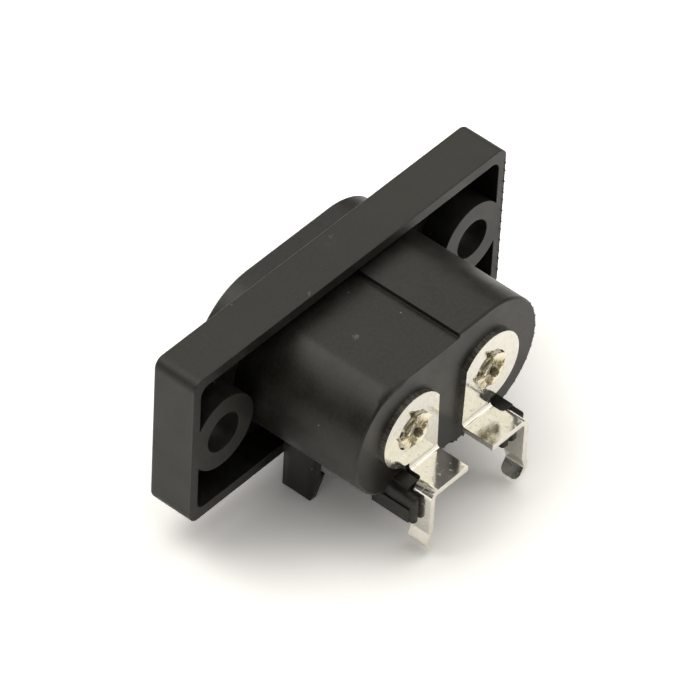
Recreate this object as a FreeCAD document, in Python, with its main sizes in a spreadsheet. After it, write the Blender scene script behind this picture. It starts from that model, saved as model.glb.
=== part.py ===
import FreeCAD, Part
import math
import os
import re
import Sketcher

# Two-pole panel inlet. Frame: X along the flange, Y from the panel to the rear, Z up.
# The origin is the middle of the flange's front face, the plane that seats on the panel.
# Every size is in millimetres; sizes that follow from others are the formulas below the table.

SIZES = {
    # screw flange, a box with a hollow back
    "flange_length": 34.9,
    "flange_height": 14.4,
    "flange_depth": 4.0,
    "flange_corner": 0.9,
    "front_edge": 0.3,
    "front_plate": 1.5,
    "rim_wall": 0.95,
    "end_wall": 0.78,
    "recess_corner": 0.85,
    "screw_spacing": 28.0,
    "screw_hole": 3.4,
    "boss_outer": 6.5,
    # collar in front of the panel face and body behind it
    "collar_width": 20.6,
    "collar_height": 11.4,
    "collar_reach": 2.55,
    "collar_edge": 0.35,
    "body_width": 20.35,
    "body_height": 11.4,
    "body_reach": 13.5,
    "body_edge": 0.16,
    "flat_drop": 0.4,
    "flat_offset": 1.0,
    # plug cavity, a figure of eight
    "lobe_width": 8.4,
    "lobe_spacing": 8.2,
    "waist_height": 7.0,
    "cavity_depth": 12.95,
    "waist_round": 0.8,
    "mouth_edge": 0.25,
    # contact pins
    "pin_spacing": 8.6,
    "pin_outer": 2.4,
    "pin_bore": 1.2,
    "pin_fit": 0.02,
    "tip_recess": 2.75,
    "tip_round": 0.9,
    "nose_solid": 1.6,
    "shoulder_outer": 3.3,
    "shoulder_thick": 0.6,
    "seam_gap": 0.22,
    "tail_outer": 2.0,
    "tail_proud": 0.55,
    "petal_outer": 3.7,
    "petal_thick": 0.28,
    "petal_gap": 0.4,
    "petal_edge": 0.14,
    "pin_turn": 5.0,
    # terminals of bent strip
    "strip": 0.48,
    "bend_inside": 0.3,
    "tab_outer": 6.5,
    "tab_shift": 0.05,
    "tab_corner": 0.25,
    "eye": 3.35,
    "neck_offset": 2.9,
    "neck_lean": 0.14,
    "neck_width": 3.2,
    "shelf_drop": 3.8,
    "shelf_reach": 3.0,
    "leg_bend": 0.3,
    "leg_offset": 1.26,
    "leg_width": 1.75,
    "leg_drop": 10.0,
    "kink_length": 0.95,
    "kink_out": 0.33,
    "kink_round": 0.3,
    "tip_length": 1.1,
    "tip_back": 0.42,
    "leg_tip_round": 0.5,
    "relief_round": 0.35,
    # barbed board pegs behind the flange
    "peg_outer": 7.0,
    "peg_thick": 1.1,
    "peg_depth": 2.75,
    "peg_root": 4.0,
    "peg_drop": 10.5,
    "peg_tip": 0.65,
    "hook_level": 8.75,
    "hook_reach": 0.5,
    # forked feet that guide the legs
    "foot_drop": 7.0,
    "foot_under": 1.4,
    "leg_gap": 0.08,
    "finger_width": 0.64,
    "finger_reach": 2.55,
    "finger_round": 0.3,
    "inner_width": 0.8,
    "inner_reach": 2.3,
    "nub_top": 4.0,
    "nub_reach": 1.6,
    "nub_gap": 0.2,
    "nub_inset": 0.35,
    "ledge_out": 0.15,
    "ledge_level": 5.7,
    "ledge_back": 0.42,
}

# Formulas shared by more than one piece.
FLOOR = "(cavity_depth - collar_reach)"
SEAT = f"({FLOOR} + shoulder_thick)"
TAB_FACE = "(body_reach + strip)"
TAB_X = "(pin_spacing / 2 + tab_shift)"
NECK_IN = "(pin_spacing / 2 - neck_offset)"
NECK_OUT = f"({NECK_IN} + neck_width)"
SHELF_END = f"({TAB_FACE} + shelf_reach)"
LEG_FRONT = f"({SHELF_END} - leg_width)"
BEND_OUT = "(bend_inside + strip)"
LEG_OUT = "(pin_spacing / 2 + leg_offset)"

doc = FreeCAD.newDocument("panel_inlet")
sheet = doc.addObject("Spreadsheet::Sheet", "Sizes")
for row, (alias, value) in enumerate(SIZES.items(), start=1):
    sheet.set(f"A{row}", alias)
    sheet.set(f"B{row}", str(value))
    sheet.setAlias(f"B{row}", alias)
doc.recompute()


def bound(formula):
    """The formula with each size name pointed at its cell of the sheet."""
    return re.sub(r"[a-z_]+", lambda word: f"Sizes.{word[0]}" if word[0] in SIZES else word[0], formula)


def number(formula):
    """The formula's present value."""
    return float(sheet.evalExpression(bound(formula)))


def new_body(label):
    """An empty body whose label names the piece."""
    body = doc.addObject("PartDesign::Body", label)
    body.Label = label
    return body


def new_sketch(body, name, role, distance):
    """A sketch on one of the body's own planes, moved along the plane's normal."""
    sketch = body.newObject("Sketcher::SketchObject", name)
    plane = [item for item in body.Origin.OriginFeatures if item.Role == role][0]
    sketch.AttachmentSupport = [(plane, "")]
    sketch.MapMode = "FlatFace"
    sketch.setExpression("AttachmentOffset.Base.z", bound(distance))
    return sketch


def upright(body, name, depth):
    """A sketch in X and Z that stands at the given Y."""
    return new_sketch(body, name, "XZ_Plane", f"-({depth})")


def dimension(sketch, kind, items, formula):
    """A driving dimension bound to a formula."""
    place = sketch.addConstraint(Sketcher.Constraint(kind, *items, number(formula)))
    name = f"{kind.lower()}_{place}"
    sketch.renameConstraint(place, name)
    sketch.setExpression(f"Constraints.{name}", bound(formula))


def fix_point(sketch, item, end, across, up):
    """Fixes a point by its two distances from the sketch's origin."""
    dimension(sketch, "DistanceX", (-1, 1, item, end), across)
    dimension(sketch, "DistanceY", (-1, 1, item, end), up)


def vector(across, up):
    return FreeCAD.Vector(number(across), number(up), 0)


def add_polygon(sketch, corners):
    """A closed outline of straight sides through the corners."""
    first = sketch.GeometryCount
    count = len(corners)
    for index in range(count):
        start = vector(*corners[index])
        end = vector(*corners[(index + 1) % count])
        sketch.addGeometry(Part.LineSegment(start, end), False)
    for index in range(count):
        following = first + (index + 1) % count
        sketch.addConstraint(Sketcher.Constraint("Coincident", first + index, 2, following, 1))
    for index in range(count):
        fix_point(sketch, first + index, 1, *corners[index])


def add_rectangle(sketch, left, right, low, high):
    """An upright rectangle between four formulas."""
    add_polygon(sketch, [(left, low), (right, low), (right, high), (left, high)])


def add_circle(sketch, across, up, diameter):
    """A circle fixed by its centre and diameter."""
    circle = Part.Circle(vector(across, up), FreeCAD.Vector(0, 0, 1), number(diameter) / 2)
    item = sketch.addGeometry(circle, False)
    fix_point(sketch, item, 3, across, up)
    dimension(sketch, "Diameter", (item,), diameter)


def add_arc(sketch, across, up, radius, start, end):
    """An arc about a fixed centre, drawn anticlockwise between two angles in degrees."""
    circle = Part.Circle(vector(across, up), FreeCAD.Vector(0, 0, 1), number(radius))
    arc = Part.ArcOfCircle(circle, math.radians(start), math.radians(end))
    item = sketch.addGeometry(arc, False)
    fix_point(sketch, item, 3, across, up)
    dimension(sketch, "Radius", (item,), radius)
    return item


def add_line(sketch, start, end):
    """A straight side, not yet fixed."""
    return sketch.addGeometry(Part.LineSegment(vector(*start), vector(*end)), False)


def join(sketch, item, end, other, other_end):
    """Makes two ends meet."""
    sketch.addConstraint(Sketcher.Constraint("Coincident", item, end, other, other_end))


def add_lobes(sketch, centre, radius, height):
    """Two round ends about centres on the X axis, joined by level sides at the given height."""
    reach = f"sqrt(({radius}) ^ 2 - ({height}) ^ 2)"
    turn = 180 - math.degrees(math.asin(number(f"({height}) / ({radius})")))
    right = add_arc(sketch, centre, "0", radius, -turn, turn)
    left = add_arc(sketch, f"-({centre})", "0", radius, 180 - turn, 180 + turn)
    top = add_line(sketch, (f"({centre}) - {reach}", height), (f"{reach} - ({centre})", height))
    low = add_line(sketch, (f"{reach} - ({centre})", f"-({height})"), (f"({centre}) - {reach}", f"-({height})"))
    join(sketch, right, 2, top, 1)
    join(sketch, top, 2, left, 1)
    join(sketch, left, 2, low, 1)
    join(sketch, low, 2, right, 1)
    dimension(sketch, "DistanceY", (-1, 1, top, 1), height)
    dimension(sketch, "DistanceY", (-1, 1, top, 2), height)
    dimension(sketch, "DistanceY", (-1, 1, low, 1), f"-({height})")
    dimension(sketch, "DistanceY", (-1, 1, low, 2), f"-({height})")


def add_stadium(sketch, width, height):
    """Two half circles joined by tangent level sides."""
    radius = f"({height}) / 2"
    centre = f"(({width}) - ({height})) / 2"
    right = add_arc(sketch, centre, "0", radius, -90, 90)
    left = add_arc(sketch, f"-({centre})", "0", radius, 90, 270)
    top = add_line(sketch, (centre, radius), (f"-({centre})", radius))
    low = add_line(sketch, (f"-({centre})", f"-({radius})"), (centre, f"-({radius})"))
    for item, end, other, other_end in ((right, 2, top, 1), (top, 2, left, 1), (left, 2, low, 1), (low, 2, right, 1)):
        sketch.addConstraint(Sketcher.Constraint("Tangent", item, end, other, other_end))


def add_quarter_ring(sketch, inner, outer, side):
    """A quarter of a ring about the origin, between the two positive axes or the two negative ones."""
    first = 0 if side == "1" else 180
    near_arc = add_arc(sketch, "0", "0", inner, first, first + 90)
    far_arc = add_arc(sketch, "0", "0", outer, first, first + 90)
    level = add_line(sketch, (f"{side} * {inner}", "0"), (f"{side} * {outer}", "0"))
    rising = add_line(sketch, ("0", f"{side} * {outer}"), ("0", f"{side} * {inner}"))
    join(sketch, near_arc, 1, level, 1)
    join(sketch, level, 2, far_arc, 1)
    join(sketch, far_arc, 2, rising, 1)
    join(sketch, rising, 2, near_arc, 2)
    for end in (1, 2):
        dimension(sketch, "DistanceY", (-1, 1, level, end), "0")
        dimension(sketch, "DistanceX", (-1, 1, rising, end), "0")


def pad(body, name, sketch, length, flip=False):
    """Adds the sketch's outline, drawn out along the sketch's normal or, flipped, against it."""
    feature = body.newObject("PartDesign::Pad", name)
    feature.Profile = sketch
    feature.setExpression("Length", bound(length))
    feature.Reversed = flip
    doc.recompute()
    return feature


def pocket(body, name, sketch, length, flip=False):
    """Cuts the sketch's outline and makes sure that something was cut."""
    before = body.Shape.Volume
    feature = body.newObject("PartDesign::Pocket", name)
    feature.Profile = sketch
    feature.setExpression("Length", bound(length))
    feature.Reversed = flip
    doc.recompute()
    if not body.Shape.Volume < before:
        raise RuntimeError(f"{name} cuts nothing")
    return feature


def edge_feature(body, name, kind, chosen):
    """A feature on every edge of the body that the test chooses from the edge's box."""
    base = body.Tip
    names = []
    for index, edge in enumerate(base.Shape.Edges, start=1):
        if chosen(edge.BoundBox):
            names.append(f"Edge{index}")
    if not names:
        raise RuntimeError(f"{name} finds no edge")
    feature = body.newObject(kind, name)
    feature.Base = (base, names)
    return feature


def round_edges(body, name, radius, chosen):
    """Rounds every edge of the body that the test chooses from the edge's box."""
    feature = edge_feature(body, name, "PartDesign::Fillet", chosen)
    feature.setExpression("Radius", bound(radius))
    doc.recompute()


def bevel_edges(body, name, size, chosen):
    """Bevels every edge of the body that the test chooses from the edge's box."""
    feature = edge_feature(body, name, "PartDesign::Chamfer", chosen)
    feature.setExpression("Size", bound(size))
    doc.recompute()


def near(value, formula, slack=0.002):
    """True where a coordinate lies on the formula's value."""
    return abs(value - number(formula)) < slack


def level_y(box, depth):
    """True for an edge that lies wholly at one Y."""
    return near(box.YMin, depth) and near(box.YMax, depth)


def along_y(box):
    """True for a straight edge that runs along Y."""
    return box.XLength < 0.002 and box.ZLength < 0.002 and box.YLength > 0.05


def along_z(box):
    """True for a straight edge that runs along Z."""
    return box.XLength < 0.002 and box.YLength < 0.002 and box.ZLength > 0.05


# The housing is one moulding, built from the flange outwards.
housing = new_body("housing")

outline = upright(housing, "flange_outline", "0")
add_rectangle(outline, "-flange_length / 2", "flange_length / 2", "-flange_height / 2", "flange_height / 2")
pad(housing, "flange", outline, "flange_depth", True)
round_edges(housing, "flange_corners", "flange_corner", along_y)
round_edges(housing, "flange_front_edge", "front_edge", lambda box: level_y(box, "0"))

hollow = upright(housing, "recess_outline", "front_plate")
HALF_X = "(flange_length / 2 - end_wall)"
HALF_Z = "(flange_height / 2 - rim_wall)"
add_rectangle(hollow, f"-{HALF_X}", HALF_X, f"-{HALF_Z}", HALF_Z)
pocket(housing, "recess", hollow, "flange_depth - front_plate")
round_edges(
    housing,
    "recess_corners",
    "recess_corner",
    lambda box: along_y(box) and near(abs(box.XMin), HALF_X) and near(abs(box.ZMin), HALF_Z),
)

bosses = upright(housing, "boss_outline", "0")
for side in ("1", "-1"):
    add_circle(bosses, f"{side} * screw_spacing / 2", "0", "boss_outer")
pad(housing, "screw_bosses", bosses, "flange_depth", True)

front = upright(housing, "collar_outline", "-collar_reach")
add_stadium(front, "collar_width", "collar_height")
pad(housing, "collar", front, "collar_reach + front_plate", True)
bevel_edges(housing, "collar_front_edge", "collar_edge", lambda box: level_y(box, "-collar_reach"))

rear = upright(housing, "body_outline", "0")
add_stadium(rear, "body_width", "body_height")
pad(housing, "rear_body", rear, "body_reach", True)
bevel_edges(housing, "body_rear_edge", "body_edge", lambda box: level_y(box, "body_reach"))

# On one side of a step the body is lower above and below.
flats = upright(housing, "flat_outline", "front_plate")
for side in ("1", "-1"):
    near_side = f"{side} * (body_height / 2 - flat_drop)"
    far_side = f"{side} * (body_height / 2 + {HALF_Z}) / 2"
    add_rectangle(flats, "-flat_offset", "body_width / 2", near_side, far_side)
pocket(housing, "body_flats", flats, "body_reach")

cavity = upright(housing, "cavity_outline", "-collar_reach")
add_lobes(cavity, "lobe_spacing / 2", "lobe_width / 2", "waist_height / 2")
pocket(housing, "plug_cavity", cavity, "cavity_depth")
round_edges(
    housing,
    "waist_corners",
    "waist_round",
    lambda box: along_y(box) and near(abs(box.ZMin), "waist_height / 2") and near(box.YMax, FLOOR),
)
MOUTH_X = "((lobe_spacing + lobe_width) / 2 + 0.01)"
bevel_edges(
    housing,
    "mouth_bevel",
    "mouth_edge",
    lambda box: level_y(box, "-collar_reach") and max(abs(box.XMin), abs(box.XMax)) < number(MOUTH_X),
)

bores = upright(housing, "pin_bore_outline", FLOOR)
seats = upright(housing, "pin_seat_outline", FLOOR)
screws = upright(housing, "screw_hole_outline", "0")
for side in ("1", "-1"):
    add_circle(bores, f"{side} * pin_spacing / 2", "0", "pin_outer + 2 * pin_fit")
    add_circle(seats, f"{side} * pin_spacing / 2", "0", "shoulder_outer + 2 * pin_fit")
    add_circle(screws, f"{side} * screw_spacing / 2", "0", "screw_hole")
pocket(housing, "pin_bores", bores, f"body_reach - {FLOOR}")
pocket(housing, "pin_seats", seats, "shoulder_thick")
pocket(housing, "screw_holes", screws, "flange_depth")

# Two pegs snap into the board: a straight outer face and a barb on the inner side.
PEG_IN = "(peg_outer - peg_thick)"
for side in ("1", "-1"):
    peg = upright(housing, f"peg_outline_{len(housing.Group)}", "flange_depth")
    corners = [
        ("peg_outer", "-peg_root"),
        ("peg_outer", "-peg_drop"),
        ("(peg_outer - peg_tip)", "-peg_drop"),
        (f"({PEG_IN} - hook_reach)", "-hook_level"),
        (PEG_IN, "-hook_level"),
        (PEG_IN, "-peg_root"),
    ]
    add_polygon(peg, [(f"{side} * {across}", up) for across, up in corners])
    pad(housing, f"board_peg_{len(housing.Group)}", peg, "peg_depth", True)

# Two forked feet: each leg stands in a slot between an inner and an outer finger.
FORK_TOP = f"(shelf_drop + {BEND_OUT})"
FORK_FRONT = "(body_reach - foot_under)"
SLOT_END = f"({LEG_FRONT} - leg_gap)"
INNER_OUT = f"({LEG_OUT} - strip - leg_gap)"
INNER_IN = f"({INNER_OUT} - inner_width)"
INNER_END = "(body_reach + inner_reach)"
FINGER_IN = f"({LEG_OUT} + leg_gap)"
FINGER_OUT = f"({FINGER_IN} + finger_width)"
FINGER_END = "(body_reach + finger_reach)"
for side in ("1", "-1"):
    fork = new_sketch(housing, f"fork_outline_{len(housing.Group)}", "XY_Plane", "-foot_drop")
    corners = [
        (INNER_IN, FORK_FRONT),
        (FINGER_OUT, FORK_FRONT),
        (FINGER_OUT, FINGER_END),
        (FINGER_IN, FINGER_END),
        (FINGER_IN, SLOT_END),
        (INNER_OUT, SLOT_END),
        (INNER_OUT, INNER_END),
        (INNER_IN, INNER_END),
    ]
    add_polygon(fork, [(f"{side} * {across}", up) for across, up in corners])
    pad(housing, f"forked_foot_{len(housing.Group)}", fork, f"foot_drop - {FORK_TOP}")
    nub = new_sketch(housing, f"nub_outline_{len(housing.Group)}", "XY_Plane", f"-{FORK_TOP}")
    nub_in = f"{side} * ({NECK_OUT} + nub_gap)"
    nub_out = f"{side} * ({FINGER_OUT} - nub_inset)"
    add_rectangle(nub, nub_in, nub_out, FORK_FRONT, "body_reach + nub_reach")
    pad(housing, f"leg_nub_{len(housing.Group)}", nub, f"{FORK_TOP} - nub_top")
    ledge = new_sketch(housing, f"ledge_outline_{len(housing.Group)}", "XY_Plane", "-foot_drop")
    ledge_out = f"{side} * ({FINGER_OUT} + ledge_out)"
    add_rectangle(ledge, f"{side} * {FINGER_OUT}", ledge_out, FORK_FRONT, f"{FINGER_END} - ledge_back")
    pad(housing, f"foot_ledge_{len(housing.Group)}", ledge, "foot_drop - ledge_level")
round_edges(
    housing,
    "finger_ends",
    "finger_round",
    lambda box: along_z(box) and (near(box.YMin, FINGER_END) or near(box.YMin, INNER_END)),
)


def make_pin(label, side):
    """A contact pin turned about its own axis: round nose, shoulder, hollow tail with two petals."""
    body = new_body(label)
    tip = "(tip_recess - collar_reach)"
    bottom = f"({tip} + nose_solid)"
    petal_top = f"({TAB_FACE} + petal_thick)"
    tail_end = f"({TAB_FACE} + tail_proud)"
    profile = new_sketch(body, f"{label}_profile", "XY_Plane", "0")
    corners = [
        ("0", tip),
        ("(pin_outer / 2 - tip_round)", tip),
        ("(pin_outer / 2 - 0.3 * tip_round)", f"({tip} + 0.3 * tip_round)"),
        ("pin_outer / 2", f"({tip} + tip_round)"),
        ("pin_outer / 2", FLOOR),
        ("shoulder_outer / 2", FLOOR),
        ("shoulder_outer / 2", SEAT),
        ("pin_outer / 2", SEAT),
        ("pin_outer / 2", "body_reach"),
        ("tail_outer / 2", "body_reach"),
        ("tail_outer / 2", TAB_FACE),
        ("petal_outer / 2", TAB_FACE),
        ("petal_outer / 2", f"({petal_top} - petal_edge)"),
        ("(petal_outer / 2 - petal_edge)", petal_top),
        ("tail_outer / 2", petal_top),
        ("tail_outer / 2", tail_end),
        ("pin_bore / 2", tail_end),
        ("pin_bore / 2", bottom),
        ("0", bottom),
    ]
    add_polygon(profile, corners)
    turned = body.newObject("PartDesign::Revolution", f"{label}_turned")
    turned.Profile = profile
    turned.ReferenceAxis = (profile, ["V_Axis"])
    turned.Angle = 360
    doc.recompute()
    seam = new_sketch(body, f"{label}_seam_outline", "XY_Plane", "0")
    add_rectangle(seam, "-seam_gap / 2", "seam_gap / 2", bottom, tail_end)
    pocket(body, f"{label}_seam", seam, "petal_outer", True)
    slots = upright(body, f"{label}_slot_outline", TAB_FACE)
    add_rectangle(slots, "-petal_outer", "-tail_outer / 2", "-petal_gap / 2", "petal_gap / 2")
    add_rectangle(slots, "-petal_gap / 2", "petal_gap / 2", "-petal_outer", "-tail_outer / 2")
    pocket(body, f"{label}_slots", slots, "petal_thick")
    quarters = upright(body, f"{label}_quarter_outline", TAB_FACE)
    for half in ("1", "-1"):
        add_quarter_ring(quarters, "(tail_outer / 2 + pin_fit)", "petal_outer", half)
    pocket(body, f"{label}_bare_quarters", quarters, "petal_thick")
    body.setExpression("Placement.Base.x", bound(f"{side} * pin_spacing / 2"))
    body.Placement.Rotation = FreeCAD.Rotation(FreeCAD.Vector(0, 1, 0), number("pin_turn"))
    doc.recompute()
    return body


left_pin = make_pin("left_pin", "1")
right_pin = make_pin("right_pin", "-1")

# The left terminal: a round tab with an eye, a neck bent back into a shelf, a leg bent down from its side.
left_terminal = new_body("left_terminal")
BEND_Z = "(bend_inside - shelf_drop)"
BEND_Y = f"({TAB_FACE} + bend_inside)"

tab = upright(left_terminal, "tab_outline", "body_reach")
disc = add_arc(tab, TAB_X, "0", "tab_outer / 2", -86, 151)
CORNER_X = f"({NECK_IN} + neck_lean)"
CORNER_Z = f"sqrt((tab_outer / 2) ^ 2 - ({TAB_X} - {CORNER_X}) ^ 2)"
JOIN_Z = f"(-sqrt((tab_outer / 2) ^ 2 - ({NECK_OUT} - {TAB_X}) ^ 2))"
inner_side = add_line(tab, (CORNER_X, CORNER_Z), (NECK_IN, BEND_Z))
neck_end = add_line(tab, (NECK_IN, BEND_Z), (NECK_OUT, BEND_Z))
outer_side = add_line(tab, (NECK_OUT, BEND_Z), (NECK_OUT, JOIN_Z))
join(tab, disc, 2, inner_side, 1)
join(tab, inner_side, 2, neck_end, 1)
join(tab, neck_end, 2, outer_side, 1)
join(tab, outer_side, 2, disc, 1)
tab.addConstraint(Sketcher.Constraint("Vertical", outer_side))
dimension(tab, "DistanceX", (-1, 1, inner_side, 1), CORNER_X)
fix_point(tab, neck_end, 1, NECK_IN, BEND_Z)
fix_point(tab, neck_end, 2, NECK_OUT, BEND_Z)
add_circle(tab, TAB_X, "0", "eye")
pad(left_terminal, "tab", tab, "strip", True)
round_edges(left_terminal, "tab_inner_corner", "tab_corner", lambda box: along_y(box) and near(box.XMin, CORNER_X))

bend = new_sketch(left_terminal, "shelf_section", "YZ_Plane", NECK_IN)
outer_bend = add_arc(bend, BEND_Y, BEND_Z, BEND_OUT, 180, 270)
inner_bend = add_arc(bend, BEND_Y, BEND_Z, "bend_inside", 180, 270)
under = add_line(bend, (BEND_Y, "-shelf_drop - strip"), (SHELF_END, "-shelf_drop - strip"))
rear_edge = add_line(bend, (SHELF_END, "-shelf_drop - strip"), (SHELF_END, "-shelf_drop"))
upper = add_line(bend, (SHELF_END, "-shelf_drop"), (BEND_Y, "-shelf_drop"))
start = add_line(bend, (TAB_FACE, BEND_Z), ("body_reach", BEND_Z))
join(bend, outer_bend, 2, under, 1)
join(bend, under, 2, rear_edge, 1)
join(bend, rear_edge, 2, upper, 1)
join(bend, upper, 2, inner_bend, 2)
join(bend, inner_bend, 1, start, 1)
join(bend, start, 2, outer_bend, 1)
bend.addConstraint(Sketcher.Constraint("Horizontal", under))
bend.addConstraint(Sketcher.Constraint("Vertical", rear_edge))
bend.addConstraint(Sketcher.Constraint("Horizontal", upper))
dimension(bend, "DistanceX", (-1, 1, under, 1), BEND_Y)
dimension(bend, "DistanceX", (-1, 1, upper, 2), BEND_Y)
dimension(bend, "DistanceX", (-1, 1, under, 2), SHELF_END)
dimension(bend, "DistanceY", (-1, 1, start, 1), BEND_Z)
dimension(bend, "DistanceY", (-1, 1, start, 2), BEND_Z)
pad(left_terminal, "shelf", bend, "neck_width")

leg = upright(left_terminal, "leg_section", LEG_FRONT)
LEG_BEND_X = f"({LEG_OUT} - leg_bend - strip)"
LEG_BEND_Z = "(-shelf_drop - leg_bend - strip)"
KINK_LEVEL = "(tip_length - leg_drop)"
KINK_START = f"({KINK_LEVEL} + kink_length)"
outer_turn = add_arc(leg, LEG_BEND_X, LEG_BEND_Z, "leg_bend + strip", 0, 90)
inner_turn = add_arc(leg, LEG_BEND_X, LEG_BEND_Z, "leg_bend", 0, 90)
path = [
    (LEG_OUT, LEG_BEND_Z),
    (LEG_OUT, KINK_START),
    (f"({LEG_OUT} + kink_out)", KINK_LEVEL),
    (f"({LEG_OUT} - tip_back)", "-leg_drop"),
    (f"({LEG_OUT} - tip_back - strip)", "-leg_drop"),
    (f"({LEG_OUT} + kink_out - strip)", KINK_LEVEL),
    (f"({LEG_OUT} - strip)", KINK_START),
    (f"({LEG_OUT} - strip)", LEG_BEND_Z),
]
ROOT_X = f"({NECK_OUT} - strip)"
root = [
    (LEG_BEND_X, "-shelf_drop - strip"),
    (ROOT_X, "-shelf_drop - strip"),
    (ROOT_X, "-shelf_drop"),
    (LEG_BEND_X, "-shelf_drop"),
]
sides = []
for points in (path, root):
    for first, second in zip(points, points[1:]):
        sides.append(add_line(leg, first, second))
        if second is not points[-1]:
            fix_point(leg, sides[-1], 2, *second)
drop = sides[: len(path) - 1]
shelf_root = sides[len(path) - 1 :]
for run in (drop, shelf_root):
    for first, second in zip(run, run[1:]):
        join(leg, first, 2, second, 1)
join(leg, outer_turn, 1, drop[0], 1)
join(leg, drop[-1], 2, inner_turn, 1)
join(leg, inner_turn, 2, shelf_root[0], 1)
join(leg, shelf_root[-1], 2, outer_turn, 2)
dimension(leg, "DistanceY", (-1, 1, drop[0], 1), LEG_BEND_Z)
dimension(leg, "DistanceY", (-1, 1, drop[-1], 2), LEG_BEND_Z)
dimension(leg, "DistanceX", (-1, 1, shelf_root[0], 1), LEG_BEND_X)
dimension(leg, "DistanceX", (-1, 1, shelf_root[-1], 2), LEG_BEND_X)
pad(left_terminal, "leg", leg, "leg_width", True)

round_edges(
    left_terminal,
    "leg_tip",
    "leg_tip_round",
    lambda box: box.YLength < 0.002 and near(box.ZMin, "-leg_drop") and near(box.ZMax, "-leg_drop"),
)
round_edges(
    left_terminal,
    "leg_kinks",
    "kink_round",
    lambda box: box.YLength > 0.5 and box.ZLength < 0.002 and near(box.ZMin, KINK_LEVEL),
)
round_edges(
    left_terminal,
    "leg_relief",
    "relief_round",
    lambda box: along_z(box) and near(box.XMin, NECK_OUT) and near(box.YMin, LEG_FRONT),
)

right_terminal = doc.addObject("Part::Mirroring", "right_terminal")
right_terminal.Source = left_terminal
right_terminal.Normal = FreeCAD.Vector(1, 0, 0)
right_terminal.Label = "right_terminal"
doc.recompute()

for item in doc.Objects:
    if "Invalid" in item.State or "Error" in item.State:
        raise RuntimeError(f"{item.Label} did not recompute")
pieces = (housing, left_pin, right_pin, left_terminal, right_terminal)
for piece in pieces:
    if piece.Shape.isNull() or not piece.Shape.isValid():
        raise RuntimeError(f"{piece.Label} is not a valid shape")
    if len(piece.Shape.Solids) != 1:
        raise RuntimeError(f"{piece.Label} is {len(piece.Shape.Solids)} solids")
os.makedirs("parts", exist_ok=True)
for piece in pieces:
    piece.Shape.exportStep(f"parts/{piece.Label}.step")
    print(piece.Label, round(piece.Shape.Volume, 2), "cubic mm")
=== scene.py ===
# %% [markdown]
# # A two-pole panel inlet
# The solids of the inlet come ready made, in metres, with the screw flange's front face at the origin,
# X along the flange, Y towards the rear and Z up. This lesson sets a camera, a white table and soft
# lamps round them, and then gives each piece the finish that it has on the real object. Nothing of the
# frame is moved, so every measure below is a place on the part itself.

# %% Load the solids
import math

import bpy
import numpy as np
from mathutils import Matrix, Vector


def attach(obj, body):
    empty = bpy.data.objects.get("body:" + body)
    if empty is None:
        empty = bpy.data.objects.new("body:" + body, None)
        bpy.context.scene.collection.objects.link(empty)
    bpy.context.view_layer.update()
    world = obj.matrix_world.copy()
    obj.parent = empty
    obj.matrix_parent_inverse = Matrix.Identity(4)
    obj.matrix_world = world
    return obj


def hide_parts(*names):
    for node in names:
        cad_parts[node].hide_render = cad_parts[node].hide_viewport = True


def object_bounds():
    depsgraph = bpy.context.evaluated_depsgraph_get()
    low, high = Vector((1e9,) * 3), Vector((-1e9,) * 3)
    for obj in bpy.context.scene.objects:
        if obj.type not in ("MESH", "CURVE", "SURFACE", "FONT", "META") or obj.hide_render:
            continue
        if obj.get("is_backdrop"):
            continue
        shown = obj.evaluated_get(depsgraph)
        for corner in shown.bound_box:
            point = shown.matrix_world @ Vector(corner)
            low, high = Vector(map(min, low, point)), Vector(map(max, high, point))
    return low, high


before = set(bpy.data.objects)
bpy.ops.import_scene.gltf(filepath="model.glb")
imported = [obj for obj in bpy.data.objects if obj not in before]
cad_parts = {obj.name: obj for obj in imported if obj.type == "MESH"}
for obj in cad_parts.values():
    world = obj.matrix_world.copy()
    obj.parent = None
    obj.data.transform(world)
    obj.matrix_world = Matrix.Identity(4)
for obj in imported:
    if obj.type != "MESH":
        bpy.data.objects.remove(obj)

solids_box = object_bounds()
lowest, highest = solids_box
print("pieces:", ", ".join(sorted(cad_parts)))
print("size in mm:", [round(1000 * side, 2) for side in highest - lowest])

# %% [markdown]
# ## Camera
# The picture looks down on the rear of the inlet from about half a metre, through a long lens. A camera
# can be aimed by a constraint, or its three axes can be written down directly. The axes are built here
# from a place, a point to look at and a small roll, because the hand-held picture leans a few degrees.

# %% Camera
CAMERA_PLACE = Vector((0.302383, 0.246538, 0.378970))
CAMERA_AIM = Vector((0.000449, 0.004484, -0.000992))
CAMERA_ROLL = math.radians(3.24)
SENSOR_WIDTH = 36
LENS_LENGTH = 377.19

sight = (CAMERA_AIM - CAMERA_PLACE).normalized()
level_right = sight.cross(Vector((0, 0, 1))).normalized()
level_up = level_right.cross(sight)
right = math.cos(CAMERA_ROLL) * level_right + math.sin(CAMERA_ROLL) * level_up
up = math.cos(CAMERA_ROLL) * level_up - math.sin(CAMERA_ROLL) * level_right
axes = Matrix((right, up, -sight)).transposed().to_4x4()
lens = bpy.data.cameras.new("camera")
lens.sensor_width = SENSOR_WIDTH
lens.lens = LENS_LENGTH
camera = bpy.data.objects.new("camera", lens)
camera.matrix_world = Matrix.Translation(CAMERA_PLACE) @ axes
bpy.context.scene.collection.objects.link(camera)
bpy.context.scene.camera = camera
bpy.context.scene.view_settings.view_transform = "Standard"
print("camera", round((CAMERA_AIM - CAMERA_PLACE).length, 3), "m from the part")

# %% [markdown]
# ## Node helpers
# Every finish is a small network of shader nodes. It could be drawn in the node editor, but a few
# helpers make it readable as text: one places a node and fills or links its inputs by name, and each of
# the others stands for one step, such as a product, a smooth step or a blend of two colours.


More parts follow.
